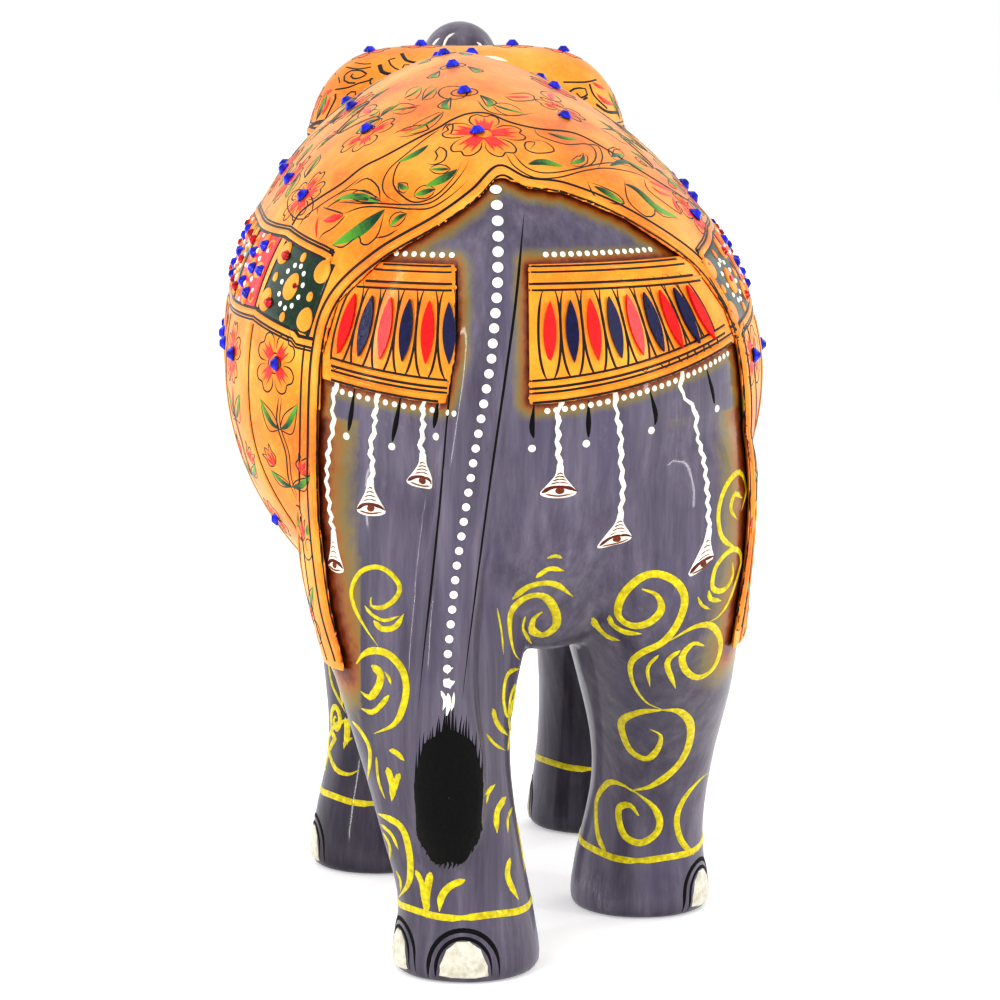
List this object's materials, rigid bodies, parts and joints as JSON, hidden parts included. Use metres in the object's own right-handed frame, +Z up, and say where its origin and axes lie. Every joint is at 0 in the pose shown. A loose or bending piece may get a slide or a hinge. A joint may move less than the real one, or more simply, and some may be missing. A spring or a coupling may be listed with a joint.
{
  "type": "carved wooden elephant figurine",
  "caption": "Carved and painted wooden elephant in a walking pose, trunk raised, with an embossed gold saddle cloth set with glass stones.",
  "frame": {"origin": "bottom centre of the bounding box, on the floor under the elephant", "axes": "+Z up; +Y the way the elephant faces; +X towards its right side"},
  "size_m": [0.1352, 0.2616, 0.2177],
  "materials": {
    "grey_body": "grey-violet paint with brushed scrolls under gloss varnish",
    "grey_trunk": "grey-violet paint with white strokes under gloss varnish",
    "ear_paint": "gold paint with coloured flowers, grey rim, gloss varnish",
    "ivory_paint": "ivory paint, gloss varnish",
    "bare_wood": "bare turned dowel",
    "gilded_cloth": "gold-orange paint over raised chalk paste, dark line work, gloss varnish",
    "gilded_band": "gold-orange paint over raised chalk paste, gloss varnish",
    "gilded_head": "gold-orange paint over raised chalk paste, gloss varnish",
    "blue_glass": "foiled cut glass, deep blue",
    "red_glass": "foiled cut glass, ruby red",
    "red_enamel": "glossy enamel",
    "navy_enamel": "glossy enamel",
    "white_enamel": "glossy enamel"
  },
  "bodies": {
    "root": {"body_block": "grey_body", "raised_trunk": "grey_trunk", "ear_left": "ear_paint", "ear_right": "ear_paint", "tusk_left": "ivory_paint", "tusk_right": "ivory_paint", "trunk_dowel": "bare_wood", "ear_peg_left": "bare_wood", "ear_peg_right": "bare_wood", "saddle_cloth": "gilded_cloth", "rump_band_left": "gilded_band", "rump_band_right": "gilded_band", "head_cloth": "gilded_head", "blue_stones_saddle": "blue_glass", "blue_stones_head": "blue_glass", "red_stones_saddle": "red_glass", "petals_red": "red_enamel", "petals_blue": "navy_enamel", "bead_drops": "white_enamel", "band_drops": "white_enamel", "tail_drops": "white_enamel"}
  },
  "joints": []
}
